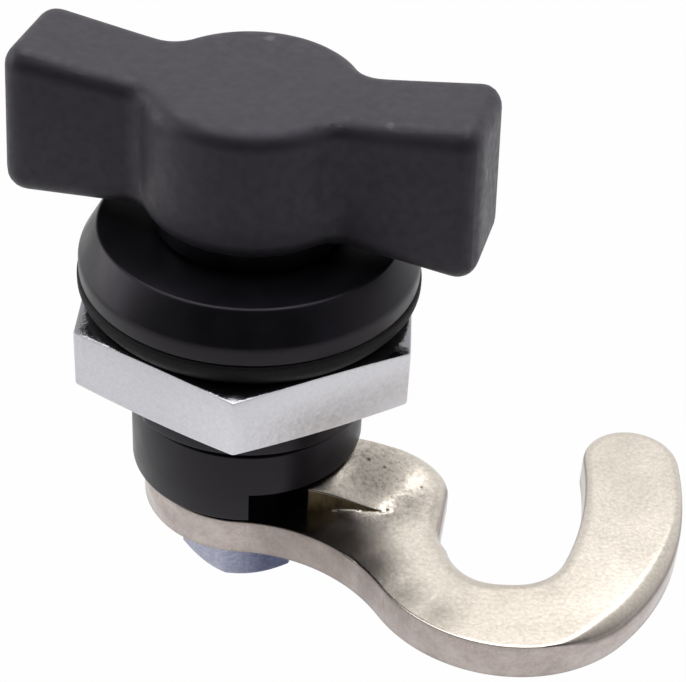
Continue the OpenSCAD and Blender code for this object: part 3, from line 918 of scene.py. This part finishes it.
# %% [markdown]
# ## Studio
# The photograph has a plain white surround and soft light from above and both sides, with little
# from the front, so dark pieces keep a dark middle. The floor and the world are white to the
# camera and to mirror rays, and give ordinary light to everything else.

# %% Floor and surround
def mirror_share(tree):
    """1 for rays from gloss and through glass."""
    path = add(tree, "LightPath").outputs
    return larger(tree, path["Is Glossy Ray"], path["Is Transmission Ray"])


def camera_share(tree):
    """1 for rays from the camera."""
    return add(tree, "LightPath").outputs["Is Camera Ray"]


FLOOR_Z, WHITE_SHARE = -45, 0.985
floor_mesh = bmesh.new()
bmesh.ops.create_grid(floor_mesh, x_segments=8, y_segments=8, size=3)
bmesh.ops.translate(floor_mesh, verts=floor_mesh.verts, vec=(0, 0, FLOOR_Z * MM))
floor_data = bpy.data.meshes.new("studio_floor")
floor_mesh.to_mesh(floor_data)
floor_mesh.free()
floor = bpy.data.objects.new("studio_floor", floor_data)
scene.collection.objects.link(floor)

paper, tree, shader, place = start_finish("white_paper")
tree.links.new(tint(tree, grain(tree, place, 40), "#8e8e8e", "#969696"), shader.inputs["Base Color"])
shader.inputs["Roughness"].default_value = 0.9
glow = add(tree, "Emission", Color=(1, 1, 1, 1), Strength=1.0)
share = product(tree, larger(tree, camera_share(tree), mirror_share(tree)), WHITE_SHARE)
mixed = add(tree, "MixShader", _0=share, _1=shader.outputs[0], _2=glow.outputs[0])
tree.links.new(mixed.outputs[0], tree.nodes["Material Output"].inputs["Surface"])
floor_data.materials.append(paper)
print("floor at", FLOOR_Z, "mm")

# %% [markdown]
# The camera stands where the round edges of flange, gasket and tube look as they do in the
# photograph. Its place is in millimetres and its angles are in radians.

# %% Camera
CAMERA_AT, PITCH_DOWN, YAW, ROLL = (-37.08, -121.30, 87.58), 0.6439, 0.3596, 0.0571
ahead = Vector((math.sin(YAW) * math.cos(PITCH_DOWN), math.cos(YAW) * math.cos(PITCH_DOWN),
                -math.sin(PITCH_DOWN)))
right = Vector((math.cos(YAW), -math.sin(YAW), 0))
up = right.cross(ahead)
rolled_right = right * math.cos(ROLL) + up * math.sin(ROLL)
rolled_up = up * math.cos(ROLL) - right * math.sin(ROLL)
lens = bpy.data.cameras.new("camera")
lens.sensor_fit, lens.sensor_width, lens.lens = "HORIZONTAL", 36, 98.24
lens.clip_start = 0.005
camera = bpy.data.objects.new("camera", lens)
turn = Matrix((rolled_right, rolled_up, -ahead)).transposed().to_4x4()
camera.matrix_world = Matrix.Translation(Vector(CAMERA_AT) * MM) @ turn
scene.collection.objects.link(camera)
scene.camera = camera
print("camera stands", round(Vector(CAMERA_AT).length), "mm from the flange")

# %% [markdown]
# The world is white to the camera from everywhere. To mirror rays it is white behind and beside
# the part and dark in front, as in a room where only the backdrop is lit, and matt surfaces get
# a fraction of that.

# %% World
world = bpy.data.worlds.new("studio")
scene.world = world
world.use_nodes = True
tree = world.node_tree
tree.nodes.clear()
DARK_FRONT, MATT_LIGHT = 0.04, 0.25
towards = add(tree, "VectorMath", {"operation": "DOT_PRODUCT"},
              _0=add(tree, "TexCoord").outputs["Generated"],
              _1=(-ahead.x, -ahead.y, 0)).outputs["Value"]
lit = add(tree, "MapRange", {"interpolation_type": "SMOOTHSTEP"}, _0=towards, _1=-0.65, _2=0.75,
          _3=1.0, _4=DARK_FRONT).outputs["Result"]
ambient = add(tree, "MapRange", _0=mirror_share(tree), _3=MATT_LIGHT, _4=1.0).outputs["Result"]
level = larger(tree, camera_share(tree), product(tree, lit, ambient))
backdrop = add(tree, "Background", Color=(1, 1, 1, 1), Strength=level)
add(tree, "OutputWorld", Surface=backdrop.outputs[0])
print("world: white backdrop, dark room in front")

# %% [markdown]
# A large lamp overhead gives the soft tops, and a smaller one on each side lights the walls. The
# right one is kept out of mirror rays, so that no square of light shows on the nut and the cam.

# %% Lamps
def softbox(name, side, back, height, size, power):
    """A square lamp placed by the camera's own right, ahead and up, aimed at the part."""
    level = Vector((ahead.x, ahead.y, 0)).normalized()
    at = right * side + level * back + Vector((0, 0, height))
    data = bpy.data.lights.new(name, "AREA")
    data.shape, data.size, data.energy = "SQUARE", size, power
    lamp = bpy.data.objects.new(name, data)
    lamp.matrix_world = Matrix.Translation(at) @ (-at).to_track_quat("-Z", "Y").to_matrix().to_4x4()
    scene.collection.objects.link(lamp)
    return lamp


lamps = [softbox("overhead", 0.0, 0.15, 0.7, 0.8, 5.0),
         softbox("right_side", 0.55, 0.1, 0.15, 0.4, 2.2),
         softbox("left_side", -0.55, 0.1, 0.15, 0.4, 1.0)]
lamps[1].visible_glossy = False
scene.view_settings.view_transform = "Standard"
print("lamps:", ", ".join(lamp.name for lamp in lamps))
